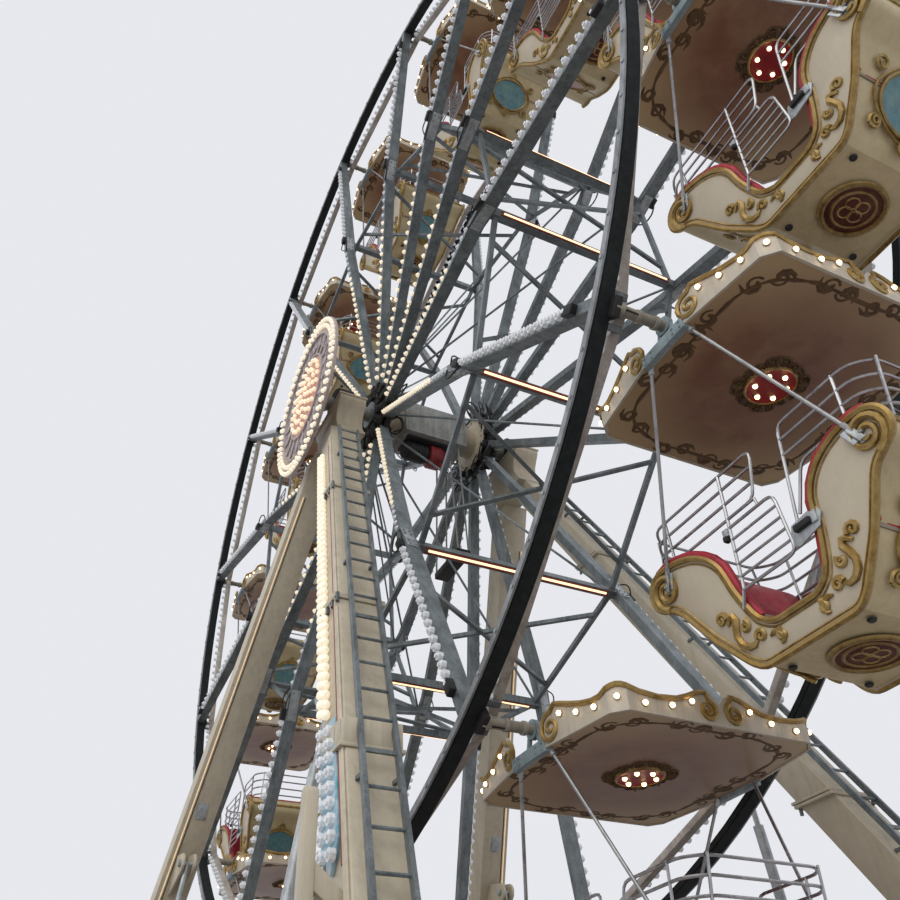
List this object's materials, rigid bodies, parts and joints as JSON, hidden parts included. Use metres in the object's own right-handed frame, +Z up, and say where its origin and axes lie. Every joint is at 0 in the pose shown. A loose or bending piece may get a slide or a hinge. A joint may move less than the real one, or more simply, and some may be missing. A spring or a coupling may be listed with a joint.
{
  "type": "ferris wheel",
  "caption": "Fairground wheel with open canopied gondolas hung between two spoked rims, on four raking box legs with ladders and a lit sign disc.",
  "frame": {"origin": "on level ground under the middle of the wheel", "axes": "+Z up; +Y along the wheel's axle, away from the sign side; +X to the right as seen from the sign side"},
  "size_m": [16.8742, 6.4916, 18.2809],
  "materials": {
    "cream_paint": "semi-gloss, weather-marked",
    "galvanised_steel": "dull zinc, streaked darker on the undersides",
    "strip_metal": "satin",
    "sign_paint": "satin",
    "canopy_paint": "satin, painted garlands and gold mouldings",
    "tub_paint": "gloss cream with gold mouldings, red upholstery, bright tube rails"
  },
  "bodies": {
    "supports": {"base_frame": "cream_paint", "front_left_leg": "cream_paint", "front_right_leg": "cream_paint", "rear_left_leg": "cream_paint", "rear_right_leg": "cream_paint", "front_leg_head": "cream_paint", "rear_leg_head": "cream_paint", "axle": "galvanised_steel", "sign_disc": "sign_paint", "front_ladder": "galvanised_steel", "rear_ladder": "galvanised_steel"},
    "wheel": {"front_rim": "galvanised_steel", "rear_rim": "galvanised_steel", "front_spokes": "galvanised_steel", "rear_spokes": "galvanised_steel", "front_light_strips": "strip_metal", "rear_light_strips": "strip_metal", "middle_bracing": "galvanised_steel"},
    "gondola_01": {"gondola_01_canopy": "canopy_paint", "gondola_01_tub": "tub_paint"},
    "gondola_02": {"gondola_02_canopy": "canopy_paint", "gondola_02_tub": "tub_paint"},
    "gondola_03": {"gondola_03_canopy": "canopy_paint", "gondola_03_tub": "tub_paint"},
    "gondola_04": {"gondola_04_canopy": "canopy_paint", "gondola_04_tub": "tub_paint"},
    "gondola_05": {"gondola_05_canopy": "canopy_paint", "gondola_05_tub": "tub_paint"},
    "gondola_06": {"gondola_06_canopy": "canopy_paint", "gondola_06_tub": "tub_paint"},
    "gondola_07": {"gondola_07_canopy": "canopy_paint", "gondola_07_tub": "tub_paint"},
    "gondola_08": {"gondola_08_canopy": "canopy_paint", "gondola_08_tub": "tub_paint"},
    "gondola_09": {"gondola_09_canopy": "canopy_paint", "gondola_09_tub": "tub_paint"},
    "gondola_10": {"gondola_10_canopy": "canopy_paint", "gondola_10_tub": "tub_paint"},
    "gondola_11": {"gondola_11_canopy": "canopy_paint", "gondola_11_tub": "tub_paint"},
    "gondola_12": {"gondola_12_canopy": "canopy_paint", "gondola_12_tub": "tub_paint"},
    "gondola_13": {"gondola_13_canopy": "canopy_paint", "gondola_13_tub": "tub_paint"},
    "gondola_14": {"gondola_14_canopy": "canopy_paint", "gondola_14_tub": "tub_paint"}
  },
  "joints": [
    {"name": "wheel_turn", "type": "hinge", "parent": "supports", "child": "wheel", "pos_m": [0, 0, 10.8], "axis": [0, 1, 0], "continuous": true},
    {"name": "gondola_01_swing", "type": "hinge", "parent": "wheel", "child": "gondola_01", "pos_m": [2.7049, 0, 17.6879], "axis": [0, 1, 0], "continuous": true},
    {"name": "gondola_02_swing", "type": "hinge", "parent": "wheel", "child": "gondola_02", "pos_m": [-0.5515, 0, 18.1794], "axis": [0, 1, 0], "continuous": true},
    {"name": "gondola_03_swing", "type": "hinge", "parent": "wheel", "child": "gondola_03", "pos_m": [-3.6987, 0, 17.2093], "axis": [0, 1, 0], "continuous": true},
    {"name": "gondola_04_swing", "type": "hinge", "parent": "wheel", "child": "gondola_04", "pos_m": [-6.1133, 0, 14.9698], "axis": [0, 1, 0], "continuous": true},
    {"name": "gondola_05_swing", "type": "hinge", "parent": "wheel", "child": "gondola_05", "pos_m": [-7.3171, 0, 11.9044], "axis": [0, 1, 0], "continuous": true},
    {"name": "gondola_06_swing", "type": "hinge", "parent": "wheel", "child": "gondola_06", "pos_m": [-7.0717, 0, 8.6202], "axis": [0, 1, 0], "continuous": true},
    {"name": "gondola_07_swing", "type": "hinge", "parent": "wheel", "child": "gondola_07", "pos_m": [-5.4256, 0, 5.7678], "axis": [0, 1, 0], "continuous": true},
    {"name": "gondola_08_swing", "type": "hinge", "parent": "wheel", "child": "gondola_08", "pos_m": [-2.7049, 0, 3.9121], "axis": [0, 1, 0], "continuous": true},
    {"name": "gondola_09_swing", "type": "hinge", "parent": "wheel", "child": "gondola_09", "pos_m": [0.5515, 0, 3.4206], "axis": [0, 1, 0], "continuous": true},
    {"name": "gondola_10_swing", "type": "hinge", "parent": "wheel", "child": "gondola_10", "pos_m": [3.6987, 0, 4.3907], "axis": [0, 1, 0], "continuous": true},
    {"name": "gondola_11_swing", "type": "hinge", "parent": "wheel", "child": "gondola_11", "pos_m": [6.1133, 0, 6.6302], "axis": [0, 1, 0], "continuous": true},
    {"name": "gondola_12_swing", "type": "hinge", "parent": "wheel", "child": "gondola_12", "pos_m": [7.3171, 0, 9.6956], "axis": [0, 1, 0], "continuous": true},
    {"name": "gondola_13_swing", "type": "hinge", "parent": "wheel", "child": "gondola_13", "pos_m": [7.0717, 0, 12.9798], "axis": [0, 1, 0], "continuous": true},
    {"name": "gondola_14_swing", "type": "hinge", "parent": "wheel", "child": "gondola_14", "pos_m": [5.4256, 0, 15.8322], "axis": [0, 1, 0], "continuous": true}
  ],
  "couplings": [
    {"joint": "gondola_01_swing", "follows": "wheel_turn", "ratio": -1},
    {"joint": "gondola_02_swing", "follows": "wheel_turn", "ratio": -1},
    {"joint": "gondola_03_swing", "follows": "wheel_turn", "ratio": -1},
    {"joint": "gondola_04_swing", "follows": "wheel_turn", "ratio": -1},
    {"joint": "gondola_05_swing", "follows": "wheel_turn", "ratio": -1},
    {"joint": "gondola_06_swing", "follows": "wheel_turn", "ratio": -1},
    {"joint": "gondola_07_swing", "follows": "wheel_turn", "ratio": -1},
    {"joint": "gondola_08_swing", "follows": "wheel_turn", "ratio": -1},
    {"joint": "gondola_09_swing", "follows": "wheel_turn", "ratio": -1},
    {"joint": "gondola_10_swing", "follows": "wheel_turn", "ratio": -1},
    {"joint": "gondola_11_swing", "follows": "wheel_turn", "ratio": -1},
    {"joint": "gondola_12_swing", "follows": "wheel_turn", "ratio": -1},
    {"joint": "gondola_13_swing", "follows": "wheel_turn", "ratio": -1},
    {"joint": "gondola_14_swing", "follows": "wheel_turn", "ratio": -1}
  ]
}
